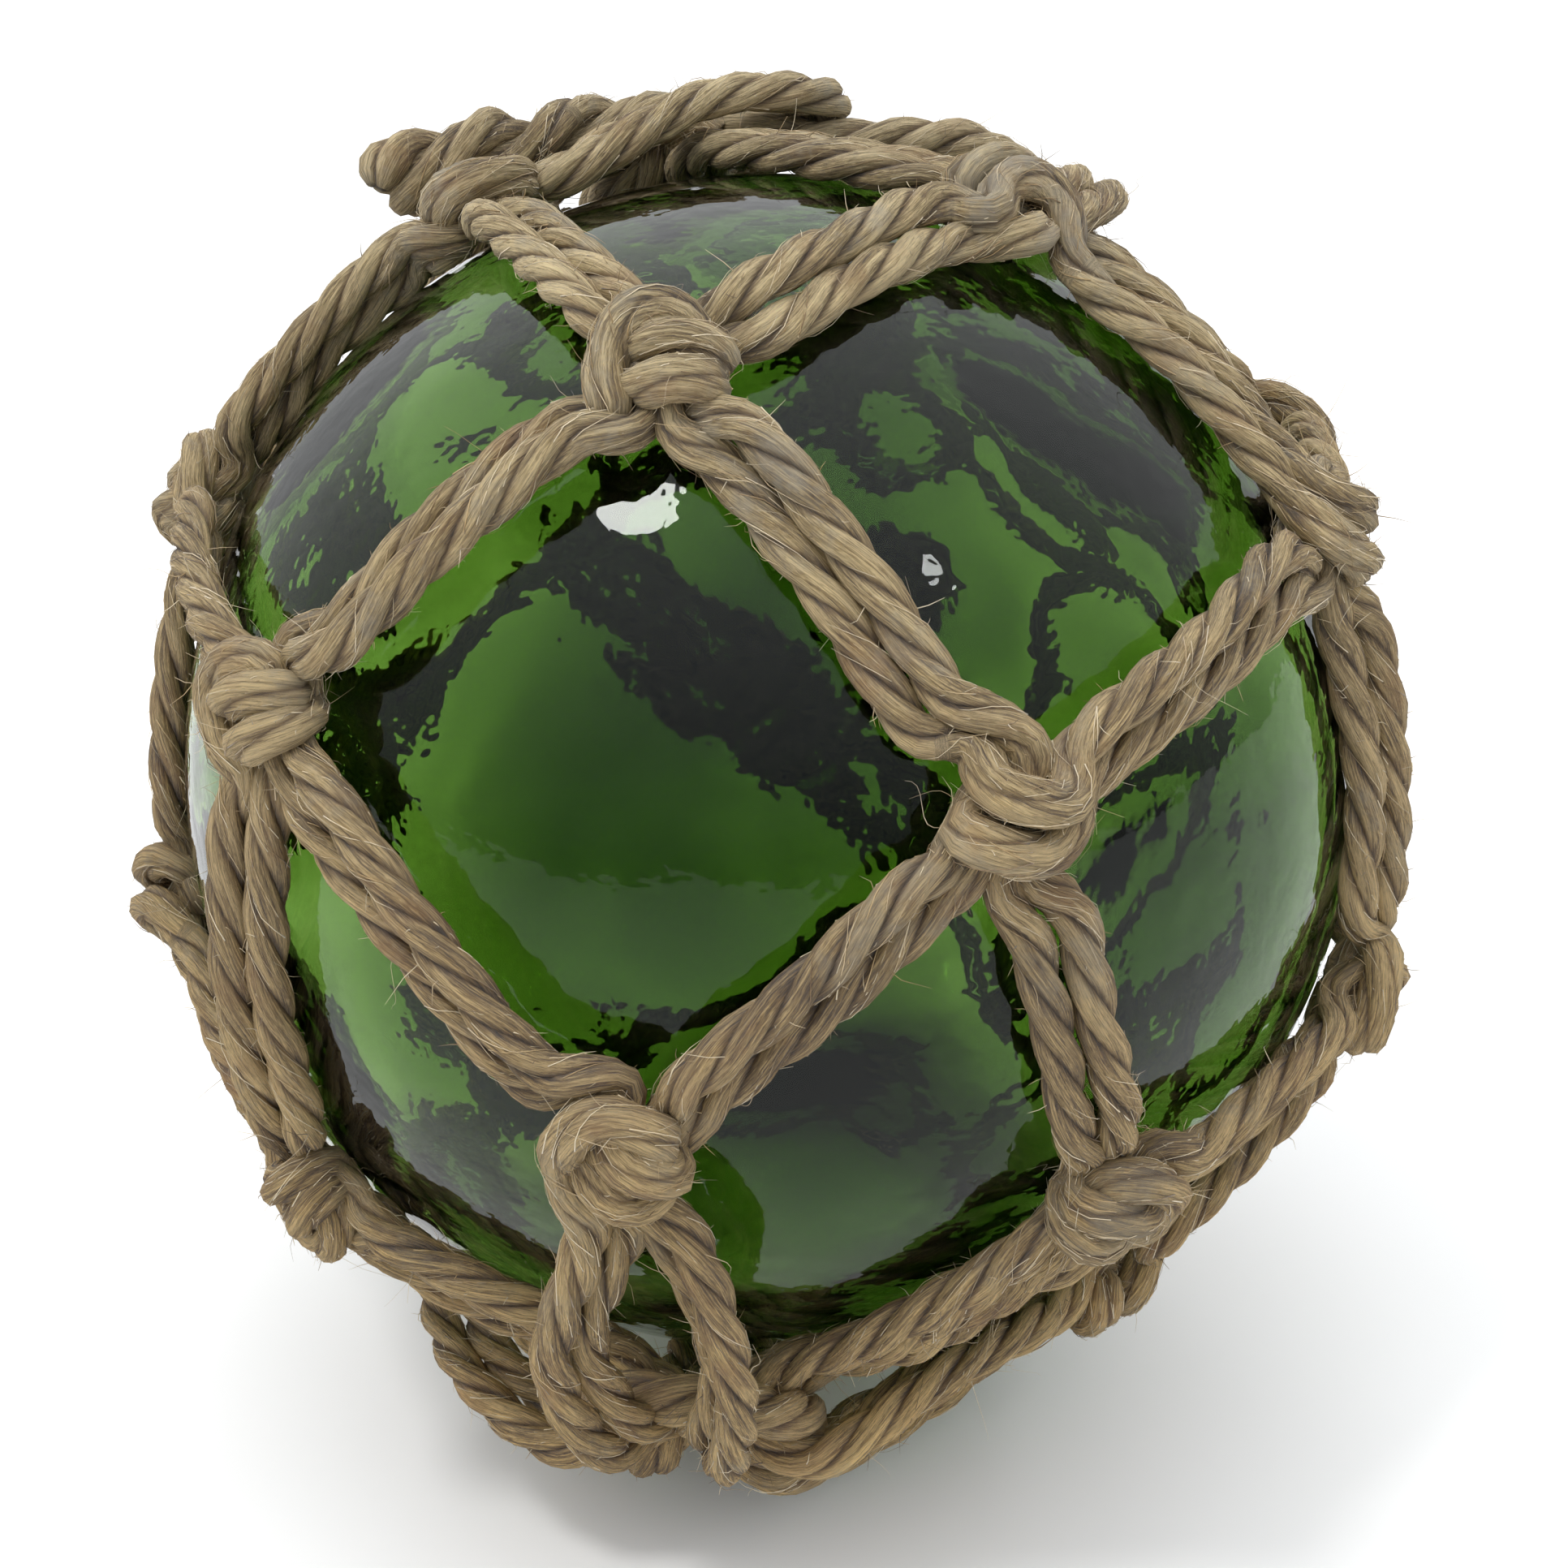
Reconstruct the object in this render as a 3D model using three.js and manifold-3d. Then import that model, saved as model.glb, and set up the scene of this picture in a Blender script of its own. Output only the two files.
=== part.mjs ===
// A blown-glass net float: a sealed glass ball in a hand-knotted jute net.
// Units are millimetres, +Z is up, and the origin is the middle of the small
// flat spot that the float rests on.
import * as THREE from "three";
import Module from "manifold-3d";
import { mergeVertices } from "three/addons/utils/BufferGeometryUtils.js";

const wasm = await Module();
wasm.setup();

// ---- Driving dimensions ----
const BALL_RADIUS = 62.5;
const REST_HEIGHT = 72.6; // ball centre above the floor, on one flattened knot
const SEAL_RADIUS = 9; // button of glass that closes the blowing hole
const SEAL_HEIGHT = 1.8;
const TWINE_RADIUS = 2.25;
const TWINE_SPACING = 4.2; // between the two twines of every mesh leg
const CORD_RADIUS = 2.6; // drawstring and base ring
const GAP = 0.3; // between pieces that touch

// ---- How the float lies: its crown leans back and a little to the right ----
const CROWN_LEAN = 41.2;
const CROWN_HEADING = -9.6;
const NET_SPIN = -32.1;

// ---- The net: six columns of diamond meshes, knots in four courses ----
const COLUMNS = 12; // half steps round the ball
const COLUMN_STEP = 360 / COLUMNS;
const KNOT_ORBIT = 69.4; // knot centres, from the ball's centre
const LEG_ORBIT = 65.4; // lowest a leg's centre line may pass over the glass
const KNOT_SIZE = [7.4, 8.2, 5.4]; // half width, half height, half thickness
const KNOT_RELIEF = 0.9;
const KNOT_ARCH = 4.4; // middle line of the bight that arches over each knot
const KNOT_ARCH_CENTRE = 1.8;
const BAND_GROOVE = -3.4;
const LOOP_STEPS = 9;
const LEG_START = 3; // legs leave a knot this far from its centre
const COURSE_LATITUDES = [38, 12, -17, -49];
const CROWN_LATITUDE = 58; // where each crown loop crosses over itself
const BASE_LATITUDE = -69;
const CROWN_RING_LATITUDE = 67;
const BASE_RING_LATITUDE = -81;
const CROWN_LOOP_SPREAD = 14;

// ---- Layers of twine and cord over the glass, from the ball's centre ----
const UNDER_ORBIT = BALL_RADIUS + TWINE_RADIUS + 0.6;
const LOW_CORD_ORBIT = BALL_RADIUS + CORD_RADIUS + 0.4;
const OVER_ORBIT = LOW_CORD_ORBIT + CORD_RADIUS + TWINE_RADIUS + 0.9;
const HIGH_CORD_ORBIT = UNDER_ORBIT + TWINE_RADIUS + CORD_RADIUS + 0.9;
const BASE_RING_ORBIT = HIGH_CORD_ORBIT;
const BASE_OVER_ORBIT = BASE_RING_ORBIT + CORD_RADIUS + TWINE_RADIUS + 0.6;

// Hand-tied irregularities: [latitude, longitude] shifts in degrees, and the
// turn of the knot in its own plane, for the knots that sit out of the grid.
const KNOT_SHIFTS = {
  "0,0": [2, -3, 30],
  "0,2": [1, 0, -30],
  "1,-1": [3, -6, 0],
  "1,1": [-1, 0, 15],
  "1,3": [1, 1, -15],
  "2,-2": [-1, 5, 0],
  "2,0": [3, -3, 20],
  "2,2": [-2, 0, -10],
  "2,4": [-1, 1, 10],
  "3,-5": [0, 2, 0],
  "3,-1": [-3, -7, 25],
  "3,1": [0, 0, 0],
  "3,3": [3, 1, -25],
};
const CROWN_SHIFTS = { 1: -10 };
const TAIL_RADIUS = 4.1; // the drawstring's two ends, twisted together
const TAIL_ROUTE = [[67, 5, 71.5], [62, -5, 70.5], [57, -11, 71.5], [50.5, -14.5, 73.6], [44.3, -18, 74.4]];

// ---- Frames ----
const radians = THREE.MathUtils.degToRad;
const netPose = new THREE.Matrix4()
  .makeTranslation(0, 0, REST_HEIGHT)
  .multiply(new THREE.Matrix4().makeRotationZ(radians(CROWN_HEADING)))
  .multiply(new THREE.Matrix4().makeRotationX(radians(-CROWN_LEAN)))
  .multiply(new THREE.Matrix4().makeRotationZ(radians(NET_SPIN)));
const ballCentre = new THREE.Vector3(0, 0, REST_HEIGHT);

// A point over the ball, by latitude and longitude in the net's own grid.
function overBall(latitude, longitude, orbit) {
  const lat = radians(latitude);
  const lon = radians(longitude);
  const ring = orbit * Math.cos(lat);
  const point = new THREE.Vector3(ring * Math.sin(lon), -ring * Math.cos(lon), orbit * Math.sin(lat));
  return point.applyMatrix4(netPose);
}

function outwardAt(point) {
  return point.clone().sub(ballCentre).normalize();
}

// Grows or shrinks a point's distance from the ball's centre.
function atOrbit(point, orbit) {
  return outwardAt(point).multiplyScalar(orbit).add(ballCentre);
}

// ---- Solids ----
function toSolid(geometry) {
  const bare = geometry.index ? geometry.toNonIndexed() : geometry.clone();
  bare.deleteAttribute("normal");
  bare.deleteAttribute("uv");
  const merged = mergeVertices(bare, 1e-4);
  return new wasm.Manifold(new wasm.Mesh({
    numProp: 3,
    vertProperties: Float32Array.from(merged.attributes.position.array),
    triVerts: Uint32Array.from(merged.index.array),
  }));
}

function toMesh(name, solid, material) {
  const { vertProperties, triVerts } = solid.getMesh();
  const geometry = new THREE.BufferGeometry();
  geometry.setAttribute("position", new THREE.BufferAttribute(Float32Array.from(vertProperties), 3));
  geometry.setIndex(new THREE.BufferAttribute(Uint32Array.from(triVerts), 1));
  geometry.computeVertexNormals();
  const mesh = new THREE.Mesh(geometry, material);
  mesh.name = name;
  return mesh;
}

function join(solids) {
  return solids.reduce((whole, solid) => whole.add(solid));
}

// ---- Sections ----
function roundSection(radius, sides) {
  const corners = [];
  for (let i = 0; i < sides; i += 1) {
    const angle = (2 * Math.PI * (i + 0.5)) / sides;
    corners.push(new THREE.Vector2(radius * Math.cos(angle), radius * Math.sin(angle)));
  }
  return new THREE.Shape(corners);
}

// Two twines side by side, with the groove between them on the outer face.
function doubledSection(scale = 1) {
  const half = TWINE_SPACING / 2;
  const corners = [
    [-half - TWINE_RADIUS * 0.9, -TWINE_RADIUS * 0.2],
    [0, -TWINE_RADIUS],
    [half + TWINE_RADIUS * 0.9, -TWINE_RADIUS * 0.2],
    [half, TWINE_RADIUS],
    [0, TWINE_RADIUS * 0.35],
    [-half, TWINE_RADIUS],
  ];
  return new THREE.Shape(corners.map(([x, y]) => new THREE.Vector2(x * scale, y * scale)));
}

// Extrudes a section straight, then lays it along a path. The section's y axis
// points to the outward direction that belongs to each point of the path.
function bar(section, points, outwards, steps) {
  const curve = new THREE.CatmullRomCurve3(points, false, "centripetal");
  const geometry = new THREE.ExtrudeGeometry(section, { depth: 1, steps, bevelEnabled: false });
  const position = geometry.attributes.position;
  const outwardCurve = new THREE.CatmullRomCurve3(outwards);
  for (let i = 0; i < position.count; i += 1) {
    const t = position.getZ(i);
    const centre = curve.getPoint(t);
    const along = curve.getTangent(t);
    const across = new THREE.Vector3().crossVectors(outwardCurve.getPoint(t), along).normalize();
    const outward = new THREE.Vector3().crossVectors(along, across);
    centre.addScaledVector(across, position.getX(i)).addScaledVector(outward, position.getY(i));
    position.setXYZ(i, centre.x, centre.y, centre.z);
  }
  return toSolid(geometry);
}

// A closed ring of cord: a torus whose middle line is moved onto the points.
function cordRing(radius, points, steps) {
  const curve = new THREE.CatmullRomCurve3(points, true);
  const torus = new THREE.TorusGeometry(BALL_RADIUS, radius, 6, steps);
  const position = torus.attributes.position;
  for (let i = 0; i < position.count; i += 1) {
    const [x, y, z] = [position.getX(i), position.getY(i), position.getZ(i)];
    const station = Math.round((steps * Math.atan2(y, x)) / (2 * Math.PI));
    const t = ((station + steps) % steps) / steps;
    const centre = curve.getPoint(t);
    const along = curve.getTangent(t);
    const across = new THREE.Vector3().crossVectors(outwardAt(centre), along).normalize();
    const outward = new THREE.Vector3().crossVectors(along, across);
    centre.addScaledVector(outward, Math.hypot(x, y) - BALL_RADIUS).addScaledVector(across, z);
    position.setXYZ(i, centre.x, centre.y, centre.z);
  }
  return toSolid(torus);
}

function barOverBall(section, points, steps) {
  return bar(section, points, points.map(outwardAt), steps);
}

// ---- Glass ball ----
function glassBall(radius) {
  const ball = new THREE.SphereGeometry(radius, 30, 15);
  ball.translate(0, 0, REST_HEIGHT);
  return toSolid(ball);
}

function sealButton() {
  const foot = Math.sqrt(BALL_RADIUS ** 2 - SEAL_RADIUS ** 2) - 2;
  const top = BALL_RADIUS + SEAL_HEIGHT;
  const profile = [
    new THREE.Vector2(0, foot),
    new THREE.Vector2(SEAL_RADIUS, foot),
    new THREE.Vector2(SEAL_RADIUS, BALL_RADIUS - 0.4),
    new THREE.Vector2(SEAL_RADIUS * 0.75, top - 0.5),
    new THREE.Vector2(0, top),
  ];
  const button = new THREE.LatheGeometry(profile, 12);
  button.rotateX(Math.PI / 2);
  button.applyMatrix4(netPose);
  return toSolid(button);
}

// ---- Net ----
function knotPlace(course, column) {
  const key = `${course},${column}`;
  const [north, east, turn] = KNOT_SHIFTS[key] ?? [0, 0, column % 4 === 0 ? 15 : -15];
  const latitude = COURSE_LATITUDES[course] + north;
  const longitude = column * COLUMN_STEP + east;
  return { latitude, longitude, turn, centre: overBall(latitude, longitude, KNOT_ORBIT) };
}

// Columns are counted from -5 to 6, so that a neighbour wraps round the ball.
function wrapColumn(column) {
  return ((((column + 5) % COLUMNS) + COLUMNS) % COLUMNS) - 5;
}

function courseColumns(course) {
  const columns = [];
  for (let column = -5; column <= 6; column += 1) {
    if ((column + course) % 2 === 0) {
      columns.push(column);
    }
  }
  return columns;
}

function stepTowards(from, to, distance) {
  return from.clone().add(to.clone().sub(from).setLength(distance));
}

function meshLeg(start, end) {
  const middle = start.clone().lerp(end, 0.5);
  const lift = Math.max(LEG_ORBIT, middle.distanceTo(ballCentre));
  const points = [stepTowards(start, end, LEG_START), atOrbit(middle, lift), stepTowards(end, start, LEG_START)];
  return barOverBall(doubledSection(), points, 2);
}

// A doubled sheet bend, as one lumpy solid: a bight that arches round a hollow on
// its upper side, and two bands that cross below it.
function knotRelief(x, y) {
  const archDistance = Math.hypot(x, y - KNOT_ARCH_CENTRE) - KNOT_ARCH;
  const arch = y > BAND_GROOVE ? Math.exp(-((archDistance / 1.5) ** 2)) : 0;
  const hollow = -Math.exp(-(x ** 2 + (y - KNOT_ARCH_CENTRE) ** 2) / 3);
  const groove = -Math.exp(-(((y - BAND_GROOVE) / 0.9) ** 2));
  return arch + 1.6 * hollow + 1.1 * groove;
}

function knot({ centre, turn }) {
  const outward = outwardAt(centre);
  const crown = new THREE.Vector3(0, 0, 1).transformDirection(netPose);
  const east = new THREE.Vector3().crossVectors(crown, outward).normalize();
  const north = new THREE.Vector3().crossVectors(outward, east);
  const frame = new THREE.Matrix4().makeBasis(east, north, outward).setPosition(centre);
  frame.multiply(new THREE.Matrix4().makeRotationZ(radians(turn)));

  const lump = new THREE.SphereGeometry(1, 10, 7);
  lump.rotateX(Math.PI / 2);
  lump.scale(...KNOT_SIZE);
  const position = lump.attributes.position;
  for (let i = 0; i < position.count; i += 1) {
    const z = position.getZ(i);
    if (z > 0) {
      position.setZ(i, z + KNOT_RELIEF * knotRelief(position.getX(i), position.getY(i)) * Math.min(1, z / 2));
    }
  }
  lump.applyMatrix4(frame);
  return toSolid(lump);
}

// Where the knots of the last course meet a gathering ring, the doubled twine
// turns back round it: up over the ring on one side and down under it on the other.
function turnedLoop(start, end, places) {
  const points = places.map(([latitude, longitude, orbit]) => overBall(latitude, longitude, orbit));
  points.unshift(stepTowards(start, points[0], LEG_START));
  points.push(stepTowards(end, points[points.length - 1], LEG_START));
  return barOverBall(doubledSection(), points, LOOP_STEPS);
}

function crownColumnLongitude(column) {
  return column * COLUMN_STEP + (CROWN_SHIFTS[column] ?? 0);
}

// A crown loop crosses over itself, then turns round the drawstring.
function crownLoop(column) {
  const longitude = crownColumnLongitude(column);
  const places = [
    [CROWN_LATITUDE, longitude - 2, OVER_ORBIT - 0.8],
    [CROWN_RING_LATITUDE, longitude + CROWN_LOOP_SPREAD, OVER_ORBIT],
    [CROWN_RING_LATITUDE + 6.5, longitude, (UNDER_ORBIT + OVER_ORBIT) / 2],
    [CROWN_RING_LATITUDE, longitude - CROWN_LOOP_SPREAD, UNDER_ORBIT],
    [CROWN_LATITUDE, longitude + 2, UNDER_ORBIT],
  ];
  const start = knotPlace(0, wrapColumn(column - 1)).centre;
  const end = knotPlace(0, wrapColumn(column + 1)).centre;
  return turnedLoop(start, end, places);
}

function baseLoop(column) {
  const longitude = column * COLUMN_STEP;
  const side = column % 4 === 0 ? 1 : -1;
  const places = [
    [BASE_LATITUDE, longitude - 22 * side, UNDER_ORBIT],
    [BASE_RING_LATITUDE, longitude - 16 * side, UNDER_ORBIT],
    [BASE_RING_LATITUDE - 5.2, longitude, BASE_RING_ORBIT],
    [BASE_RING_LATITUDE, longitude + 8 * side, BASE_OVER_ORBIT],
    [BASE_LATITUDE, longitude + 13 * side, KNOT_ORBIT + 2],
  ];
  const under = knotPlace(3, wrapColumn(column - side)).centre;
  const over = knotPlace(3, wrapColumn(column + side)).centre;
  return turnedLoop(under, over, places);
}

function ropeNet() {
  const pieces = [];
  for (let course = 0; course < COURSE_LATITUDES.length; course += 1) {
    for (const column of courseColumns(course)) {
      const place = knotPlace(course, column);
      pieces.push(knot(place));
      if (course + 1 < COURSE_LATITUDES.length) {
        for (const step of [-1, 1]) {
          pieces.push(meshLeg(place.centre, knotPlace(course + 1, wrapColumn(column + step)).centre));
        }
      }
    }
  }
  for (const column of courseColumns(1)) {
    pieces.push(crownLoop(column));
  }
  for (const column of courseColumns(0)) {
    pieces.push(baseLoop(column));
  }
  return join(pieces);
}

// ---- Gathering cords ----
// The drawstring rides over one side of each crown loop and dips under the other.
function drawstring(radius) {
  const points = [];
  for (const column of courseColumns(1)) {
    const longitude = crownColumnLongitude(column);
    for (const step of [-20, -9]) {
      points.push(overBall(CROWN_RING_LATITUDE, longitude + step, HIGH_CORD_ORBIT));
    }
    for (const step of [9, 20]) {
      points.push(overBall(CROWN_RING_LATITUDE, longitude + step, LOW_CORD_ORBIT));
    }
  }
  return cordRing(radius, points, 40);
}

// Its two ends are twisted together and lie over the net beside the first knot.
function drawstringTail(radius) {
  const points = TAIL_ROUTE.map(([latitude, longitude, orbit]) => overBall(latitude, longitude, orbit));
  const end = new THREE.SphereGeometry(radius * 1.12, 8, 6);
  end.translate(...points[points.length - 1].toArray());
  return barOverBall(roundSection(radius, 7), points, 6).add(toSolid(end));
}

function baseRing(radius) {
  const points = [];
  for (let column = 0; column < COLUMNS; column += 1) {
    points.push(overBall(BASE_RING_LATITUDE, column * COLUMN_STEP, BASE_RING_ORBIT));
  }
  return cordRing(radius, points, 20);
}

// ---- Assembly ----
const glass = new THREE.MeshStandardMaterial({ color: 0x1f5a12, roughness: 0.06, metalness: 0 });
const jute = new THREE.MeshStandardMaterial({ color: 0xa88c63, roughness: 0.9, metalness: 0 });
const cordJute = new THREE.MeshStandardMaterial({ color: 0x9c8058, roughness: 0.9, metalness: 0 });

const ball = glassBall(BALL_RADIUS).add(sealButton());
const crownCord = drawstring(CORD_RADIUS).add(drawstringTail(TAIL_RADIUS));
const baseCord = baseRing(CORD_RADIUS);

const underFloor = new THREE.BoxGeometry(300, 300, 40);
underFloor.translate(0, 0, -20);
const net = ropeNet()
  .subtract(drawstring(CORD_RADIUS + GAP))
  .subtract(drawstringTail(TAIL_RADIUS + GAP))
  .subtract(baseRing(CORD_RADIUS + GAP))
  .subtract(glassBall(BALL_RADIUS + GAP))
  .subtract(toSolid(underFloor));

const floatBall = new THREE.Group();
floatBall.add(toMesh("glass_ball", ball, glass));
floatBall.add(toMesh("rope_net", net, jute));
floatBall.add(toMesh("crown_drawstring", crownCord, cordJute));
floatBall.add(toMesh("base_ring", baseCord, cordJute));

export default floatBall;
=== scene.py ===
"""A green glass float ball in a net of doubled jute twine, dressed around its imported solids."""
import math
from collections import namedtuple

import bmesh
import bpy
import numpy as np
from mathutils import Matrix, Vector, noise


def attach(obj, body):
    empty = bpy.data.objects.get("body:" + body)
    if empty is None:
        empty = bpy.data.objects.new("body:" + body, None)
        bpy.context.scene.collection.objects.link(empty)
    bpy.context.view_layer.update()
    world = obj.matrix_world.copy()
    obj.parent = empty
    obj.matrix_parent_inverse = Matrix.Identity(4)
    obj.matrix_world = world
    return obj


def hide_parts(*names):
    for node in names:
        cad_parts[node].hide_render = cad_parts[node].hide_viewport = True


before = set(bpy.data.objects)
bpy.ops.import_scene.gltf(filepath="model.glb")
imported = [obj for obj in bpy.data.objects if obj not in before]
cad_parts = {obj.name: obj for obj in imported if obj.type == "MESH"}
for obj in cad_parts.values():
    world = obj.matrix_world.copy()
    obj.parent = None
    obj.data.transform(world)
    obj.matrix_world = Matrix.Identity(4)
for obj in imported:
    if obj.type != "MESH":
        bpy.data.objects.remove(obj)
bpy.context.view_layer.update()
rng = np.random.default_rng(7)

# ---- Sizes, in millimetres and degrees, the same as the solids have ----
BALL_RADIUS = 62.5
REST_HEIGHT = 72.6
SEAL_RADIUS = 9.0
SEAL_HEIGHT = 1.8
TWINE_RADIUS = 2.1
TWINE_SPACING = 3.9
CORD_RADIUS = 2.6
CROWN_LEAN, CROWN_HEADING, NET_SPIN = 41.2, -9.6, -32.1
COLUMNS, COLUMN_STEP = 12, 30
KNOT_ORBIT = 69.4
LEG_ORBIT = 65.3
COURSE_LATITUDES = [38, 12, -17, -49]
CROWN_LATITUDE, CROWN_RING_LATITUDE, CROWN_LOOP_SPREAD = 58, 67, 14
BASE_LATITUDE, BASE_RING_LATITUDE = -69, -81
UNDER_ORBIT, OVER_ORBIT = 65.1, 71.1
LOW_CORD_ORBIT, HIGH_CORD_ORBIT = 66.8, 70.3
BASE_RING_ORBIT, BASE_OVER_ORBIT = 69.6, 73.6
KNOT_SHIFTS = {
    (0, 0): (2, -3, 30), (0, 2): (1, 0, -30), (1, -1): (3, -6, 0), (1, 1): (-1, 0, 15),
    (1, 3): (1, 1, -15), (2, -2): (-1, 5, 0), (2, 0): (3, -3, 20), (2, 2): (-2, 0, -10),
    (2, 4): (-1, 1, 10), (3, -5): (0, 2, 0), (3, -1): (-3, -7, 25), (3, 1): (0, 0, 0),
    (3, 3): (3, 1, -25),
}
CROWN_SHIFTS = {1: -10}

# ---- Where the rope was moved off the solids' places, to suit the photo ----
# A base loop's height over the knots, its share of the lean, and how far round its under and over sides lie.
BASE_TUCK = (1.6, 1, (22, 16), (8, 13))
BASE_TUCKS = {2: (1.6, 1, (30, 38), (8, 13)), 4: (-2.4, 0.2, (22, 16), (2, 8))}
TAIL_ROUTE = [(65.5, 14, 66.6), (67, 6, 69.6), (64.5, -3, 71.2), (59.5, -9.5, 71.3), (54, -13.5, 71.8),
              (49.5, -15, 72.8), (44.5, -18.5, 73.6), (42.0, -21, 73.0)]
TAIL_TWIST, TAIL_RADIUS = 20, 2.4

# ---- Rope make-up ----
STRANDS = 3
THIRD = 2 * math.pi / STRANDS
TWINE_LAY = 18.5
CORD_LAY = 19.0
STRAND_RADIUS, STRAND_ORBIT = 0.55, 0.46  # of the rope's own radius
MERGED_RADIUS, MERGED_ORBIT = 0.63, 0.35  # where a knot squeezes the strands into one band
RING_SIDES = 10
AROUND = np.arange(RING_SIDES) * 2 * math.pi / RING_SIDES  # round a strand, from its outermost point
CREASE = 0.5 - 0.5 * np.cos(AROUND)  # 0 at a strand's outermost point, and 1 at the rope's middle
RING_STEP = 1.15
SWELL, SWELL_STEP, SWELL_FADE = 0.03, 6, 3  # a rope's uneven thickness, which fades out near a cut
END_RING = 0.96  # size of the ring beyond each cut, which lies inside the rope that carries on
FIBRE_TURN = 0.30  # radians a millimetre, back against the lay
FIBRE_ACROSS, FIBRE_ALONG = 3.4, 7  # units of noise in a strand's radius, and millimetres along in one unit
FIBRE_SHIFT = 40  # units of noise by which strands differ
FIBRE_SWITCH = 6  # rings over which the two ends' yarns blend
# The yarns that show round a strand: how many, their relief, how far they wander and over what length.
YARNS = [(5, 0.045, 1.5, 6), (3, 0.035, 2.0, 9)]
UNTWIST = 4.0  # radians of lay that tying a knot takes out of the twine in it
FREE_TAKE_UP = 0.05  # share of left-over turns that free twine takes up, where tied twine takes 1 more
SPAN = 14  # samples between two points of a spline
FINE_STEP, FINE_EXTRA = 0.6, 4
RING_EXTRA = 2

# ---- Legs and loops of the net ----
LEG_LEAN, LEG_SWAY = 36, 8  # degrees by which a leg's two twines may lie one over the other
LEG_END_REACH, LEG_END_HEIGHT = 8.5, 3.2  # where a leg starts: from its knot's middle, and over the glass
PRESSED = 0.15  # how far a twine may press into the glass
LOOP_CROSSING = 2
CROWN_CROSSING_DROP, CROWN_LOOP_RISE, BASE_LOOP_RISE = 0.8, 6.5, 5.2
BASE_LOOP_LEAN = np.array([8, 10, 15, 35, 50, 60, 35])  # from the loop's under side to its over side
HIDDEN_TURN = 15  # of the knots that the photo hides, one way or the other

# ---- Knots of the net ----
KNOT_REACH, KNOT_FADE = 13, 4
KNOT_JITTER, KNOT_TURN_SHARE, KNOT_SMOOTHING = 0.22, 0.6, 6
KNOT_TIGHTNESS = 2.7  # closest that two twines' middle lines come in a knot
KNOT_FLOOR = 1.8  # closest that a twine's middle line comes to the glass in a knot
RELAX_ROUNDS, RELAX_SHARE, RELAX_MOST = 14, 0.3, 0.2
RELAX_NEAR = 7  # samples of one curve that don't push each other
TIED_REACH, TIED_FADE, TIED_SWELL = 10, 4, 0.06
BURIED_HEIGHT, BURIED_FADE, BURIED_SHRINK = 5.0, 2, 0.24
SWITCH_NEARNESS = 0.35  # how much nearness to a knot's middle counts in choosing where fibres switch


# ---- Places on the ball ----
def turn_z(angle):
    c, s = math.cos(math.radians(angle)), math.sin(math.radians(angle))
    return np.array([[c, -s, 0], [s, c, 0], [0, 0, 1]])


def turn_x(angle):
    c, s = math.cos(math.radians(angle)), math.sin(math.radians(angle))
    return np.array([[1, 0, 0], [0, c, -s], [0, s, c]])


NET_TURN = turn_z(CROWN_HEADING) @ turn_x(-CROWN_LEAN) @ turn_z(NET_SPIN)
CENTRE = np.array([0, 0, REST_HEIGHT])
CROWN_AXIS = NET_TURN @ np.array([0, 0, 1.0])


def unit(v):
    return v / np.linalg.norm(v, axis=-1, keepdims=True)


def over_ball(latitude, longitude, orbit):
    lat, lon = math.radians(latitude), math.radians(longitude)
    p = np.array([math.cos(lat) * math.sin(lon), -math.cos(lat) * math.cos(lon), math.sin(lat)])
    return NET_TURN @ (p * orbit) + CENTRE


def outward(points):
    return unit(points - CENTRE)


def at_orbit(point, orbit):
    return CENTRE + outward(point) * orbit


def orbits(points):
    return np.linalg.norm(points - CENTRE, axis=1)


def kept_off(points, lowest):
    """The points, moved straight out to the lowest orbit where they are under it."""
    return CENTRE + unit(points - CENTRE) * np.maximum(orbits(points), lowest)[:, None]


# ---- Paths ----
def between(t, t0, t1, p0, p1):
    return (t1 - t) / (t1 - t0) * p0 + (t - t0) / (t1 - t0) * p1


def spline(points):
    """A centripetal Catmull-Rom curve through the points, with SPAN samples between each two."""
    p = np.asarray(points, float)
    p = np.vstack([2 * p[0] - p[1], p, 2 * p[-1] - p[-2]])
    out = []
    for i in range(1, len(p) - 2):
        a, b, c, d = p[i - 1:i + 3]
        k = [0.0]
        for u, v in ((a, b), (b, c), (c, d)):
            k.append(k[-1] + max(1e-6, np.linalg.norm(v - u)) ** 0.5)
        t = np.linspace(k[1], k[2], SPAN, endpoint=False)[:, None]
        a1 = between(t, k[0], k[1], a, b)
        a2 = between(t, k[1], k[2], b, c)
        a3 = between(t, k[2], k[3], c, d)
        b1 = between(t, k[0], k[2], a1, a2)
        b2 = between(t, k[1], k[3], a2, a3)
        out.append(between(t, k[1], k[2], b1, b2))
    out.append(p[-2][None])
    return np.vstack(out)


def lengths(points):
    return np.concatenate([[0], np.cumsum(np.linalg.norm(np.diff(points, axis=0), axis=1))])


def at_lengths(points, s, t):
    return np.column_stack([np.interp(t, s, points[:, i]) for i in range(3)])


def resample(points, step):
    s = lengths(points)
    n = max(4, int(round(s[-1] / step)) + 1)
    return at_lengths(points, s, np.linspace(0, s[-1], n))


def respace(points, first, last, step, extra):
    """The points at an even step from the first cut to the last, with some beyond each cut."""
    s = lengths(points)
    s = s - s[first]
    count = max(4, round(s[last] / step))
    return at_lengths(points, s, np.arange(-extra, count + extra + 1) * s[last] / count)


def smooth(points, rounds):
    p = points.copy()
    for _ in range(rounds):
        p[1:-1] = (p[:-2] + 2 * p[1:-1] + p[2:]) / 4
    return p


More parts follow.
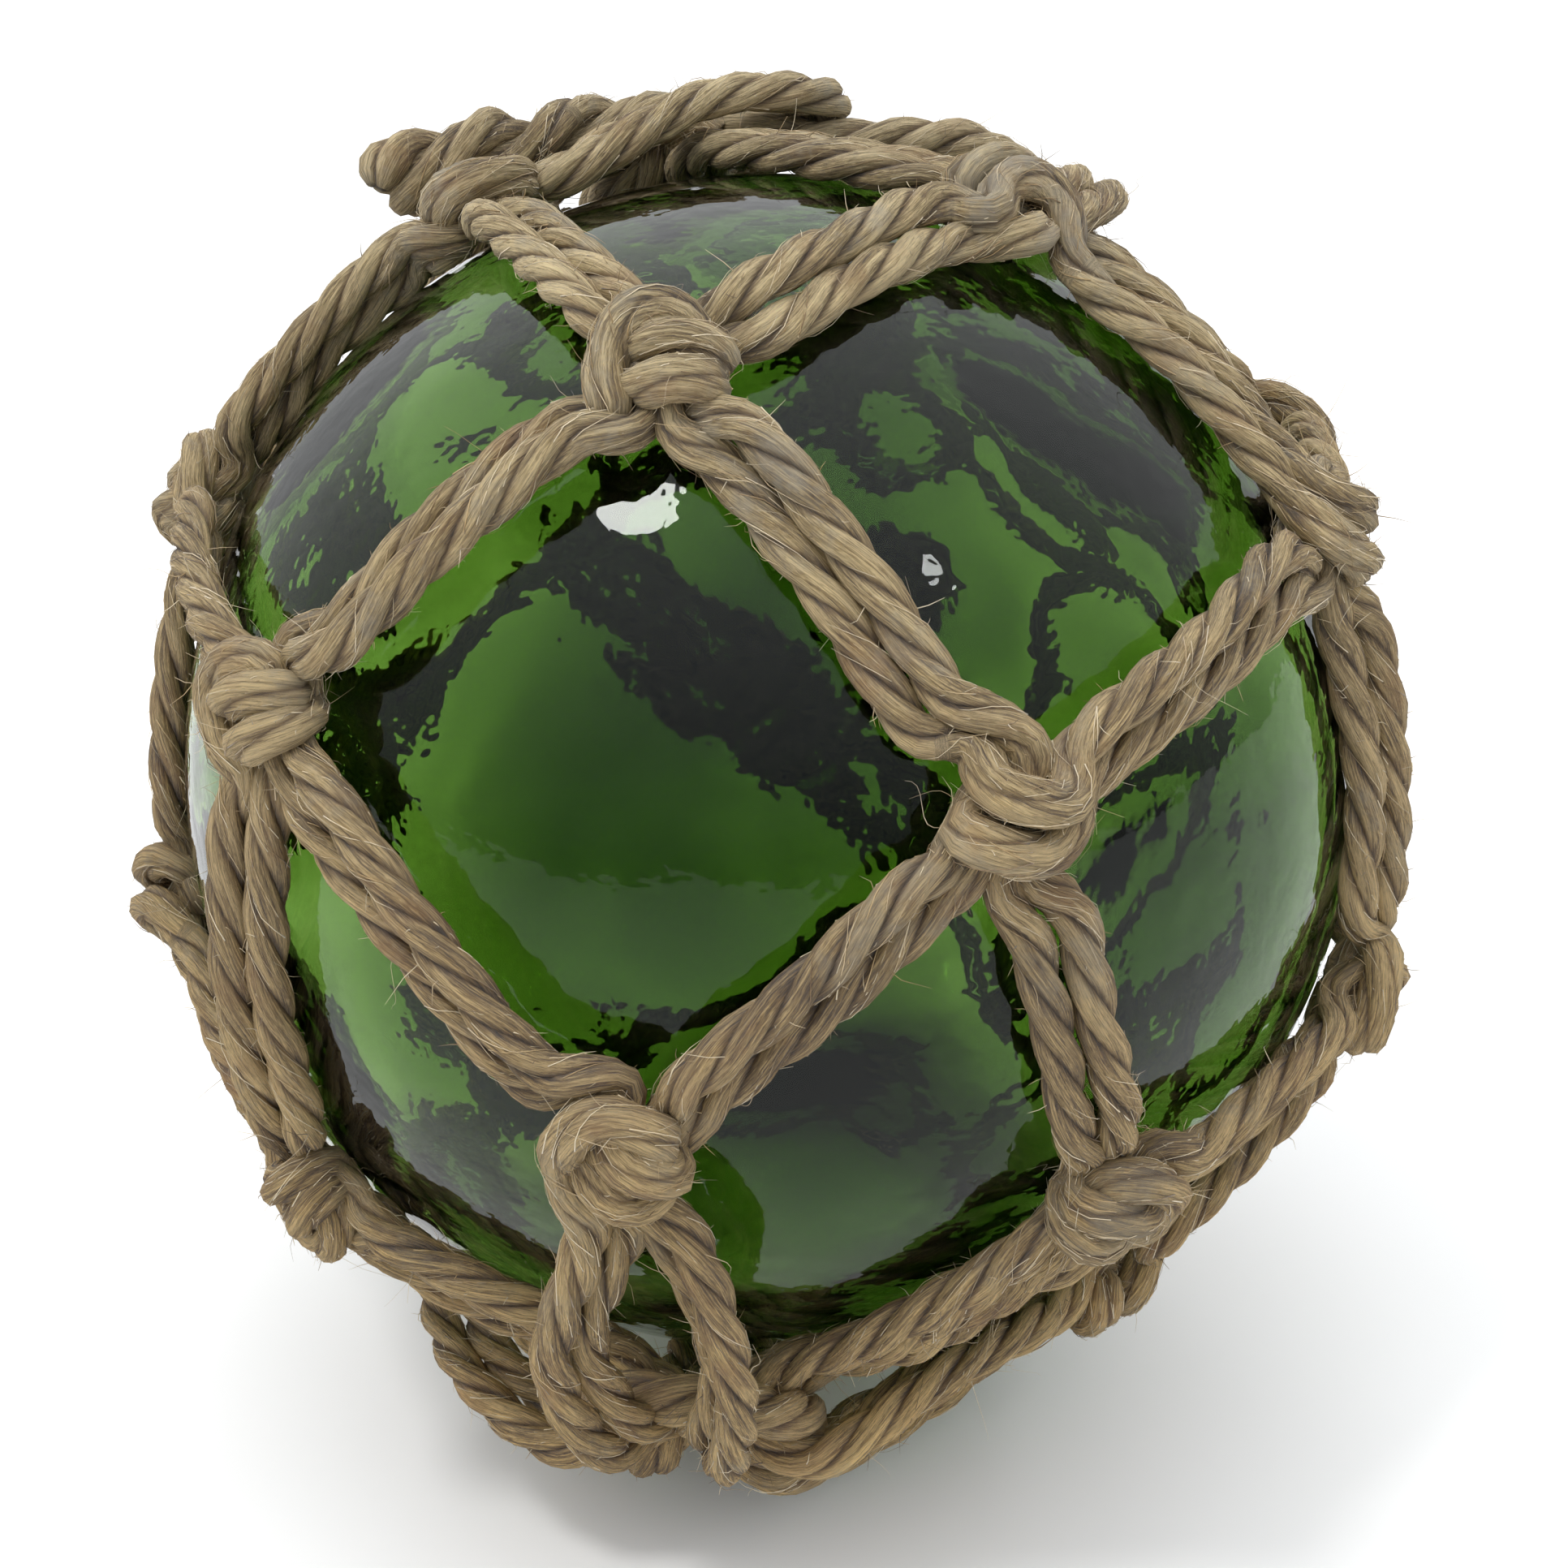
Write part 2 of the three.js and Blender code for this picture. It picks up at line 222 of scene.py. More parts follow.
def smoothstep(x):
    x = np.clip(x, 0, 1)
    return x * x * (3 - 2 * x)


def tangents_of(points, closed):
    if closed:
        return unit(np.roll(points, -1, 0) - np.roll(points, 1, 0))
    return unit(np.gradient(points, axis=0))


def transport(points, closed=False):
    """Tangents, and normals that are carried along without turning about them."""
    tangents = tangents_of(points, closed)
    normals = np.empty_like(points)
    n = outward(points[:1])[0]
    for i, t in enumerate(tangents):
        n = n - t * (n @ t)
        n = n / np.linalg.norm(n)
        normals[i] = n
    return tangents, normals


def turned(normals, binormals, angle):
    return np.cos(angle)[:, None] * normals + np.sin(angle)[:, None] * binormals


# ---- Laid rope ----
class Strands:
    """Gathers the strand tubes of one piece."""

    def __init__(self):
        self.layers = {key: [] for key in ("rings", "normals", "fibre", "tone", "crease", "tied")}
        self.quads, self.caps = [], []
        self.count = 0

    def tube(self, closed, *layers):
        n, sides = layers[0].shape[:2]
        index = self.count + np.arange(n * sides).reshape(n, sides)
        ahead = np.roll(index, -1, 0) if closed else index[1:]
        here = index if closed else index[:-1]
        quads = np.stack([here, np.roll(here, -1, 1), np.roll(ahead, -1, 1), ahead], -1)
        self.quads.append(quads.reshape(-1, 4))
        if not closed:
            self.caps += [index[0][::-1], index[-1]]
        for store, layer in zip(self.layers.values(), layers):
            store.append(layer)
        self.count += n * sides


def slip(normal, towards, tangent):
    """The turn about the tangent from the normal to a direction."""
    towards = unit(towards - tangent * (towards @ tangent))
    return math.atan2(np.cross(normal, towards) @ tangent, normal @ towards)


def open_phase(points, tangents, normals, s, lay, loose):
    """The lay's angle along a rope, straight out at both cuts. The knot takes up what is left over."""
    first, last = RING_EXTRA, len(points) - 1 - RING_EXTRA
    begin, end = (slip(normals[i], outward(points[i:i + 1])[0], tangents[i]) for i in (first, last))
    plain = begin - 2 * math.pi * (s - s[first]) / lay
    share = np.concatenate([[0], np.cumsum((loose[1:] + loose[:-1]) * np.diff(s))])
    share = np.clip((share - share[first]) / (share[last] - share[first]), 0, 1)
    thirds = round((plain[last] + UNTWIST - end) / THIRD)
    return plain + (end + THIRD * thirds - plain[last]) * share, thirds


def closed_phase(points, tangents, normals, s, lay):
    whole = s[-1] + np.linalg.norm(points[0] - points[-1])
    gap = slip(normals[-1], normals[0], tangents[0])
    turns = round((-2 * math.pi * whole / lay - gap) / (2 * math.pi))
    return (gap + 2 * math.pi * turns) * s / whole, whole


def fibres_from(start, s, seed, lane, heading):
    """Each point's place among a strand's fibres, its yarns' relief and its shade, counted from one end."""
    local = np.random.default_rng([seed, lane])
    shift, shade, beat = local.uniform(0, FIBRE_SHIFT, 3), local.normal(0, 1), local.uniform(0, 6.28, 3)
    along = heading * (s[:, None] - start)
    turn = heading * AROUND - FIBRE_TURN * along
    fibre = np.stack([FIBRE_ACROSS * np.cos(turn) + shift[0], FIBRE_ACROSS * np.sin(turn) + shift[1],
                      along / FIBRE_ALONG + shift[2] + 0 * turn], -1)
    relief = 0
    for (count, height, wander, length), (a, b) in zip(YARNS, (beat[[0, 1]], beat[[2, 0]])):
        relief = relief + height * np.cos(count * turn + a + wander * np.sin(along / length + b))
    return fibre, relief, shade


def strand_fibres(s, spans, ends, later, strand, thirds):
    """A strand's fibres, relief and tone, which go over from the first end's to the last end's."""
    (seed, heading), (last_seed, last_heading) = ends
    begun = fibres_from(spans[0], s, seed, heading * strand % STRANDS, heading)
    ended = fibres_from(spans[1], s, last_seed, last_heading * (thirds + strand) % STRANDS, last_heading)
    fibre = np.where(later[..., None] < 0.5, begun[0], ended[0])
    relief = begun[1] * (1 - later) + ended[1] * later
    tone = np.where(later < 0.5, begun[2], ended[2])
    return fibre, relief, tone


def strand_line(points, normals, binormals, angle, orbit, closed):
    """A strand's middle line, and the way out from it to each point of its rings."""
    away = turned(normals, binormals, angle)
    middle = points + away * orbit[:, None]
    forward = tangents_of(middle, closed)
    top = unit(away - forward * (away * forward).sum(1, keepdims=True))
    side = np.cross(forward, top)
    return middle, np.cos(AROUND)[:, None] * top[:, None] + np.sin(AROUND)[:, None] * side[:, None]


def lay_rope(bundle, points, radius, lay, ends, merge=0.0, switch=None, closed=False):
    """Lays three strands round a middle line.

    ends gives a seed and a heading for each end, so that two ropes that meet carry on each other's fibres.
    merge, from 0 to 1, says how far the strands are squeezed into one band, and switch is the sample where
    the first end's fibres give way to the last end's.
    """
    tangents, normals = transport(points, closed)
    binormals = np.cross(tangents, normals)
    s = lengths(points)
    merge = np.broadcast_to(merge, len(s))
    radius = np.broadcast_to(radius, len(s))
    swell = rng.normal(0, SWELL, max(4, int(s[-1] / SWELL_STEP)))
    if closed:
        phase, finish = closed_phase(points, tangents, normals, s, lay)
        first, last, thirds, fade = 0, len(s) - 1, 0, 1
        rows = slice(None)
        swell[-1] = swell[0]
    else:
        phase, thirds = open_phase(points, tangents, normals, s, lay, merge + FREE_TAKE_UP)
        first, last = RING_EXTRA, len(s) - 1 - RING_EXTRA
        finish = s[last]
        rows = slice(first - 1, last + 2)
        fade = smoothstep(np.minimum(s - s[first], s[last] - s) / SWELL_FADE)
    swell = np.interp(s, np.linspace(0, s[-1], len(swell)), swell) * fade
    orbit = radius * (STRAND_ORBIT + (MERGED_ORBIT - STRAND_ORBIT) * merge)
    own = radius * (STRAND_RADIUS + (MERGED_RADIUS - STRAND_RADIUS) * merge) * (1 + swell)
    if not closed:
        own[[first - 1, last + 1]] *= END_RING
    switch = (first + last) // 2 if switch is None else switch
    later = smoothstep((np.arange(len(s)) - switch) / FIBRE_SWITCH + 0.5)[:, None]
    for strand in range(STRANDS):
        middle, out = strand_line(points, normals, binormals, phase + strand * THIRD, orbit, closed)
        fibre, relief, tone = strand_fibres(s, (s[first], finish), ends, later, strand, thirds)
        rings = middle[:, None] + out * (own[:, None] * (1 + relief))[..., None]
        tone, crease, tied = (value + 0 * relief for value in (tone, CREASE, merge[:, None]))
        bundle.tube(closed, *(layer[rows] for layer in (rings, out, fibre, tone, crease, tied)))


# ---- The net's plan ----
def knot_place(course, column):
    hidden = (0, 0, HIDDEN_TURN if column % 4 == 0 else -HIDDEN_TURN)
    north, east, turn = KNOT_SHIFTS.get((course, column), hidden)
    centre = over_ball(COURSE_LATITUDES[course] + north, column * COLUMN_STEP + east, KNOT_ORBIT)
    return centre, turn


def wrap_column(column):
    return (column + 5) % COLUMNS - 5


def course_columns(course):
    return [c for c in range(-5, 7) if (c + course) % 2 == 0]


def beside(course, column, step):
    """The knots of a course on both sides of a column."""
    return (course, wrap_column(column - step)), (course, wrap_column(column + step))


def crown_longitude(column):
    return column * COLUMN_STEP + CROWN_SHIFTS.get(column, 0)


class Leg:
    """A doubled twine between two knots, as a middle line with a cut where their curves meet."""

    def __init__(self, seed, first, second, middles, cut, lean):
        self.seed = seed
        a, b = knot_place(*first)[0], knot_place(*second)[0]
        start, end = middles[0], middles[-1]
        near = at_orbit(a + unit(start - a) * LEG_END_REACH, BALL_RADIUS + LEG_END_HEIGHT)
        far = at_orbit(b + unit(end - b) * LEG_END_REACH, BALL_RADIUS + LEG_END_HEIGHT)
        self.line = np.array([near, *middles, far])
        self.cut = cut + 1
        self.knots = (first, second)
        along = unit(np.gradient(self.line, axis=0))
        across = unit(np.cross(outward(self.line), along))
        lean = np.radians(lean + rng.uniform(-LEG_SWAY, LEG_SWAY, len(self.line)))[:, None]
        self.across = across * np.cos(lean) + outward(self.line) * np.sin(lean)

    def side(self, which):
        line = self.line + self.across * (which * TWINE_SPACING / 2)
        return kept_off(line, BALL_RADIUS + TWINE_RADIUS - PRESSED)


def crown_loop(column):
    """The middle line of the loop that the crown cord threads."""
    lon = crown_longitude(column)
    places = [(CROWN_LATITUDE, lon - LOOP_CROSSING, OVER_ORBIT - CROWN_CROSSING_DROP),
              (CROWN_RING_LATITUDE, lon + CROWN_LOOP_SPREAD, OVER_ORBIT),
              (CROWN_RING_LATITUDE + CROWN_LOOP_RISE, lon, (UNDER_ORBIT + OVER_ORBIT) / 2),
              (CROWN_RING_LATITUDE, lon - CROWN_LOOP_SPREAD, UNDER_ORBIT),
              (CROWN_LATITUDE, lon + LOOP_CROSSING, UNDER_ORBIT)]
    return [over_ball(*p) for p in places]


def base_loop(column, side, outer, under, over):
    """The middle line of the loop that the base ring gathers."""
    lon = column * COLUMN_STEP
    places = [(BASE_LATITUDE, lon - under[0] * side, UNDER_ORBIT),
              (BASE_RING_LATITUDE, lon - under[1] * side, UNDER_ORBIT),
              (BASE_RING_LATITUDE - BASE_LOOP_RISE, lon, BASE_RING_ORBIT),
              (BASE_RING_LATITUDE, lon + over[0] * side, BASE_OVER_ORBIT),
              (BASE_LATITUDE, lon + over[1] * side, KNOT_ORBIT + outer)]
    return [over_ball(*p) for p in places]


def net_legs():
    legs = []
    for course in range(3):
        for column in course_columns(course):
            for step in (-1, 1):
                other = (course + 1, wrap_column(column + step))
                a, b = knot_place(course, column)[0], knot_place(*other)[0]
                middle = at_orbit((a + b) / 2, LEG_ORBIT)
                lean = rng.uniform(-LEG_LEAN, LEG_LEAN)
                legs.append(Leg(len(legs) + 1, (course, column), other, [middle], 0, lean))
    for column in course_columns(1):
        legs.append(Leg(len(legs) + 1, *beside(0, column, 1), crown_loop(column), 2, 0))
    for column in course_columns(0):
        side = 1 if column % 4 == 0 else -1
        outer, leant, under, over = BASE_TUCKS.get(column, BASE_TUCK)
        loop = base_loop(column, side, outer, under, over)
        lean = BASE_LOOP_LEAN * side * leant
        legs.append(Leg(len(legs) + 1, *beside(3, column, side), loop, 2, lean))
    return legs


# ---- Knots ----
# Each knot is two doubled twines. A curve names its ports, and its points give
# east, north and height over the glass. "i" is the twine nearer north or south.
ARCH_KNOT = [
    (("sw", "o"), ("se", "o"),
     [(-4.0, -5.0, 3.6), (-4.5, -1.4, 5.2), (-4.2, 2.4, 6.3), (-2.3, 4.7, 6.8), (0.8, 5.0, 6.6),
      (3.0, 3.6, 4.8), (2.6, 0.8, 2.6), (2.0, -4.8, 2.8)]),
    (("sw", "i"), ("se", "i"),
     [(-1.9, -6.0, 2.8), (-1.4, -1.4, 2.4), (-1.2, 1.8, 2.2), (0.2, 2.4, 2.2), (1.2, 0.8, 2.2),
      (0.7, -5.6, 2.8)]),
    (("nw", "i"), ("ne", "i"),
     [(-2.7, 6.8, 3.0), (-1.4, 4.0, 2.6), (-2.3, 1.7, 4.6), (-0.9, 1.2, 6.8), (1.9, 1.0, 7.4),
      (4.0, 0.6, 6.0), (4.5, 0.3, 3.6), (2.6, 0.4, 2.1), (1.6, 2.8, 2.1), (3.2, 6.2, 2.6)]),
    (("nw", "o"), ("ne", "o"),
     [(-4.4, 5.4, 2.8), (-2.5, 1.0, 2.4), (-2.1, -2.4, 4.4), (-0.7, -2.9, 6.6), (2.0, -3.1, 7.1),
      (3.9, -3.1, 5.8), (4.4, -2.8, 3.6), (2.6, -2.0, 2.1), (2.8, 1.6, 2.1), (4.8, 4.8, 2.6)]),
]
BAND_KNOT = [
    (("ne", "i"), ("nw", "o"),
     [(3.4, 6.4, 4.2), (4.4, 3.4, 5.6), (3.0, 1.5, 7.0), (-1.3, 1.3, 7.4), (-4.0, 1.6, 6.4),
      (-5.0, 3.6, 5.0), (-5.4, 6.0, 4.0)]),
    (("ne", "o"), ("nw", "i"),
     [(5.2, 5.0, 3.2), (4.9, 0.2, 4.8), (3.3, -2.9, 6.7), (-1.3, -3.2, 7.1), (-4.0, -3.2, 5.8),
      (-4.4, -2.8, 3.6), (-2.2, -1.6, 2.1), (0.2, 1.2, 2.2), (0.8, 4.2, 4.0), (-0.8, 7.4, 5.0)]),
    (("sw", "o"), ("se", "o"),
     [(-3.0, -6.2, 3.0), (-2.4, -1.2, 2.2), (0.0, 2.0, 2.1), (2.4, -1.2, 2.2), (3.0, -6.0, 3.0)]),
    (("sw", "i"), ("se", "i"),
     [(-1.2, -6.2, 3.0), (-0.9, -1.8, 2.2), (0.1, -0.2, 2.1), (1.0, -1.8, 2.2), (1.2, -6.0, 3.0)]),
]
KNOT_TABLES = {"arch": ARCH_KNOT, "band": BAND_KNOT}
# The knots that the photo shows: the table, how many quarters it is turned, and whether it is mirrored.
KNOT_KINDS = {
    (0, 0): ("arch", 2, False), (0, 2): ("band", 2, True), (1, -1): ("arch", 0, True),
    (1, 1): ("arch", 0, False), (1, 3): ("band", 0, True), (2, -2): ("band", 2, False),
    (2, 0): ("arch", 0, False), (2, 2): ("band", 0, False), (2, 4): ("arch", 2, True),
    (3, -1): ("arch", 2, True), (3, 1): ("arch", -0.25, False), (3, 3): ("arch", 0, True),
}
# The way that each pair of twines comes from, and whether its outer twine comes first round from there.
PORT_ANGLES = {"ne": (45, 1), "nw": (135, -1), "sw": (225, 1), "se": (315, -1)}
# One twine at a knot: where it comes from, its line as far as its leg's cut, its seed and its leg's way.
Port = namedtuple("Port", "angle line seed way")


def relax(curves, weights):
    """Pushes the twines of a knot apart where they run into each other, and off the glass."""
    owner = np.concatenate([np.full(len(c), i) for i, c in enumerate(curves)])
    place = np.concatenate([np.arange(len(c)) for c in curves])
    apart = (owner[:, None] != owner[None]) | (np.abs(place[:, None] - place[None]) > RELAX_NEAR)
    weight = np.concatenate(weights)[:, None]
    points = np.vstack(curves)
    splits = np.cumsum([len(c) for c in curves])[:-1]
    for _ in range(RELAX_ROUNDS):
        gap = points[:, None] - points[None]
        distance = np.linalg.norm(gap, axis=2) + 1e-6
        push = np.where(apart, np.clip(KNOT_TIGHTNESS - distance, 0, None), 0)
        pushing = np.maximum(1, (push > 0).sum(1))[:, None]
        shift = (gap / distance[..., None] * push[..., None]).sum(1) / pushing
        moved = points + np.clip(shift * RELAX_SHARE, -RELAX_MOST, RELAX_MOST) * weight
        softer = np.vstack([smooth(part, 1) for part in np.split(moved, splits)])
        moved += (softer - moved) * weight
        orbit = orbits(moved)
        kept = np.clip(orbit, BALL_RADIUS + KNOT_FLOOR, None)
        points = CENTRE + unit(moved - CENTRE) * (orbit + (kept - orbit) * weight[:, 0])[:, None]
    return np.split(points, splits)


class Knot:
    """A knot's place on the ball, and how its table is laid there."""

    def __init__(self, course, column):
        self.place = (course, column)
        self.centre, self.turn = knot_place(course, column)
        out = outward(self.centre[None])[0]
        self.east = unit(np.cross(CROWN_AXIS, out))
        self.north = np.cross(out, self.east)
        half = column // 2
        hidden = (("arch", "band")[(course + half) % 2], (half + course) % 4 // 2 * 2, column % 4 == 0)
        kind, self.quarters, mirrored = KNOT_KINDS.get(self.place, hidden)
        self.table = KNOT_TABLES[kind]
        self.flip = -1 if mirrored else 1

    def angle(self, point):
        """The way from the knot's middle to a point, in degrees from the table's east."""
        d = point - self.centre
        angle = math.degrees(math.atan2(d @ self.north, self.flip * (d @ self.east)))
        return (angle - self.quarters * 90) % 360

    def lay(self, points, local):
        """The table's points on the ball, each a little out of place."""
        a = math.radians(self.turn * KNOT_TURN_SHARE + self.quarters * 90)
        laid = []
        for point in points:
            x, y, z = np.array(point) + local.normal(0, KNOT_JITTER, 3)
            x, y = x * math.cos(a) - y * math.sin(a), x * math.sin(a) + y * math.cos(a)
            flat = self.centre + self.east * x * self.flip + self.north * y
            laid.append(at_orbit(flat, BALL_RADIUS + z))
        return laid


def leg_ports(knot, leg, end):
    """The two twines of a leg where it meets a knot."""
    way = 1 if end == 0 else -1
    cut = leg.cut if end == 0 else len(leg.line) - 1 - leg.cut
    pair = []
    for which in (-1, 1):
        line = leg.side(which)[::way]
        pair.append(Port(knot.angle(line[0]), line[:cut + 2][::-1], leg.seed * 2 + (which > 0), way))
    return pair


def angle_apart(a, b):
    return abs((a - b + 180) % 360 - 180)


def mean_angle(pair):
    angles = [math.radians(port.angle) for port in pair]
    return math.degrees(math.atan2(sum(math.sin(a) for a in angles), sum(math.cos(a) for a in angles)))


def name_ports(pairs):
    """Gives each quarter of a knot the pair of twines that comes from nearest it."""
    free, found = list(pairs), {}
    for name in sorted(PORT_ANGLES):
        angle, sense = PORT_ANGLES[name]
        misses = [angle_apart(mean_angle(pair), angle) for pair in free]
        pair = free.pop(misses.index(min(misses)))
        outer, inner = sorted(pair, key=lambda port: (port.angle - angle + 180) % 360)[::sense]
        found[name, "o"], found[name, "i"] = outer, inner
    return found


def knot_curves(knot, legs):
    """The four twine curves of a knot, from cut to cut, with each curve's ends as lay_rope takes them."""
    ports = name_ports([leg_ports(knot, leg, end) for leg in legs for end in (0, 1)
                        if leg.knots[end] == knot.place])
    local = np.random.default_rng([knot.place[0] + 1, knot.place[1] + 20])
    curves, weights, ends = [], [], []
    for start, finish, points in knot.table:
        first, last = ports[start], ports[finish]
        fine = spline(np.vstack([first.line, knot.lay(points, local), last.line[::-1]]))
        fine = respace(fine, SPAN, len(fine) - 1 - SPAN, FINE_STEP, FINE_EXTRA)
        weight = smoothstep((KNOT_REACH - np.linalg.norm(fine - knot.centre, axis=1)) / KNOT_FADE)
        curves.append(fine + (smooth(fine, KNOT_SMOOTHING) - fine) * weight[:, None])
        weights.append(weight)
        # A curve leaves its first leg's cut towards this knot, so against the way of that leg's port.
        ends.append(((first.seed, -first.way), (last.seed, last.way)))
    return relax(curves, weights), ends


def lay_knot(bundle, place, legs):
    knot = Knot(*place)
    for curve, ends in zip(*knot_curves(knot, legs)):
        p = respace(curve, FINE_EXTRA, len(curve) - 1 - FINE_EXTRA, RING_STEP, RING_EXTRA)
        near = np.linalg.norm(p - knot.centre, axis=1)
        height = orbits(p) - BALL_RADIUS
        tied = smoothstep((TIED_REACH - near) / TIED_FADE)
        buried = tied * smoothstep((BURIED_HEIGHT - height) / BURIED_FADE)
        scale = 1 + TIED_SWELL * tied - BURIED_SHRINK * buried
        deepest = int(np.argmin(height + SWITCH_NEARNESS * near))
        lay_rope(bundle, p, TWINE_RADIUS * scale, TWINE_LAY, ends, tied, deepest)


# ---- Meshes ----
FLOOR_GIVE = 0.6  # height under which the rope is pressed flat


def settle(points):
    """Presses what would reach below the floor flat against it."""
    z = points[:, 2]
    pressed = FLOOR_GIVE * np.exp(np.minimum(0, z - FLOOR_GIVE) / FLOOR_GIVE)
    points[:, 2] = np.where(z < FLOOR_GIVE, pressed, z)
    return points


def make_mesh(name, points, quads, caps, material, **attributes):
    mesh = bpy.data.meshes.new(name)
    mesh.vertices.add(len(points))
    mesh.vertices.foreach_set("co", (points * 0.001).astype(np.float32).ravel())
    loops, starts = quads.ravel(), np.arange(len(quads)) * quads.shape[1]
    if len(caps):
        caps = np.array(caps)
        starts = np.append(starts, len(loops) + np.arange(len(caps)) * caps.shape[1])
        loops = np.append(loops, caps)
    mesh.loops.add(len(loops))
    mesh.loops.foreach_set("vertex_index", loops.astype(np.int32))
    mesh.polygons.add(len(starts))
    mesh.polygons.foreach_set("loop_start", starts.astype(np.int32))
    mesh.polygons.foreach_set("use_smooth", np.arange(len(starts)) < len(quads))
    for key, value in attributes.items():
        kind = "FLOAT_VECTOR" if value.ndim == 2 else "FLOAT"
        attribute = mesh.attributes.new(key, kind, "POINT")
        attribute.data.foreach_set("vector" if value.ndim == 2 else "value", value.astype(np.float32).ravel())
    mesh.update(calc_edges=True)
    mesh.validate()
    mesh.materials.append(material)
    piece = bpy.data.objects.new(name, mesh)
    bpy.context.collection.objects.link(piece)
    return piece


def make_rope(name, bundle, material):
    flat = {key: np.concatenate([v.reshape(-1, *v.shape[2:]) for v in layer])
            for key, layer in bundle.layers.items()}
    points = settle(flat.pop("rings"))
    del flat["normals"]
    return make_mesh(name, points, np.vstack(bundle.quads), bundle.caps, material, **flat)


# ---- Materials ----
BLACK, WHITE = (0, 0, 0), (1, 1, 1)
# The jute's colours: dark, middling and pale fibres, and rust.
TWINE_COLOURS = [(84, 61, 29), (158, 130, 80), (214, 188, 138), (156, 108, 54)]
CORD_COLOURS = [(80, 59, 30), (154, 127, 79), (208, 183, 136), (152, 105, 54)]
BLEACHING = 1.25
WORN_COLOUR = (172, 162, 144)
TOP = 0.145  # metres
# Painted light: lighter and warmer low down, standing in for light where the ball shades the rope, and
# lighter and greyer towards the crown, where light falls from above: the share of TOP and the tint there.
LIGHT_BY_HEIGHT_TINTS = [(0.0, (1.40, 1.28, 0.95)), (0.3, (1.22, 1.14, 0.92)), (0.55, (1.10, 1.05, 0.94)),
                (0.78, (1.26, 1.28, 1.26)), (1.0, (1.4, 1.5, 1.66))]
# Painted shade: the inner sides of the strands, in the grooves between them, darkened as by the shade that
# falls there.
CREASE_SHADE_TINTS = [(0.3, WHITE), (0.48, (0.50, 0.43, 0.34)), (0.62, (0.2, 0.16, 0.12))]
GLASS_COLOUR, GLASS_REFLECTION = (214, 236, 196), (0.46, 0.48, 0.46)
GLASS_DEPTH_COLOUR, GLASS_DENSITY = (172, 193, 86), 430.0


def srgb(*values):
    shares = [v / 255 for v in values]
    return tuple(v / 12.92 if v < 0.04045 else ((v + 0.055) / 1.055) ** 2.4 for v in shares)


class Nodes:
    """Short names for building a material. A colour is given as three numbers."""

    def __init__(self, name):
        self.material = bpy.data.materials.new(name)
        self.material.use_nodes = True
        self.tree = self.material.node_tree
        self.shader = self.tree.nodes["Principled BSDF"]

    def put(self, socket, value):
        """Links an output to a socket, or sets a number or a colour on it."""
        if isinstance(value, bpy.types.NodeSocket):
            self.tree.links.new(value, socket)
        else:
            socket.default_value = (*value, 1) if isinstance(value, tuple) else value

    def node(self, kind, inputs, **settings):
        node = self.tree.nodes.new(kind)
        for key, value in settings.items():
            setattr(node, key, value)
        for key, value in inputs.items():
            self.put(node.inputs[key], value)
        return node

    def surface(self, inputs):
        for key, value in inputs.items():
            self.put(self.shader.inputs[key], value)

    def attribute(self, name, output="Fac"):
        return self.node("ShaderNodeAttribute", {}, attribute_name=name).outputs[output]

    def place(self):
        return self.node("ShaderNodeTexCoord", {}).outputs["Object"]

    def noise(self, vector, scale, detail, rough, distortion=0.0):
        inputs = {"Vector": vector, "Scale": scale, "Detail": detail, "Roughness": rough,
                  "Distortion": distortion}
        return self.node("ShaderNodeTexNoise", inputs).outputs["Fac"]

    def ramp(self, factor, stops):
        node = self.node("ShaderNodeValToRGB", {"Fac": factor})
        while len(node.color_ramp.elements) < len(stops):
            node.color_ramp.elements.new(0.5)
        for element, (at, colour) in zip(node.color_ramp.elements, stops):
            element.position = at
            element.color = (*colour, 1)
        return node.outputs["Color"]

    def mix(self, factor, a, b, blend="MIX"):
        node = self.node("ShaderNodeMix", {0: factor, 6: a, 7: b}, data_type="RGBA", blend_type=blend)
        return node.outputs[2]

    def maths(self, operation, a, b):
        return self.node("ShaderNodeMath", {0: a, 1: b}, operation=operation).outputs[0]

    def add(self, a, b, share=1):
        """The first value, with a share of the second."""
        return self.maths("ADD", a, b if share == 1 else self.maths("MULTIPLY", b, share))

    def spread(self, value, low, high, start=0.0, stop=1.0):
        """Takes values from start to stop to values from low to high."""
        inputs = {"Value": value, "From Min": start, "From Max": stop, "To Min": low, "To Max": high}
        return self.node("ShaderNodeMapRange", inputs).outputs[0]

    def bump(self, height, strength, distance):
        inputs = {"Height": height, "Strength": strength, "Distance": distance}
        return self.node("ShaderNodeBump", inputs).outputs["Normal"]


def weathered(m, colour, place, rust):
    """Rust in patches, and greyed wear that is strongest in the knots."""
    rusty = m.ramp(m.noise(place, 90, 4, 0.7), [(0.52, BLACK), (0.72, WHITE)])
    colour = m.mix(m.maths("MULTIPLY", rusty, 0.5), colour, rust)
    worn = m.add(m.noise(place, 70, 5, 0.75), m.attribute("tied"), 0.06)
    greyed = m.ramp(worn, [(0.54, BLACK), (0.68, WHITE)])
    return m.mix(m.maths("MULTIPLY", greyed, 0.5), colour, srgb(*WORN_COLOUR))


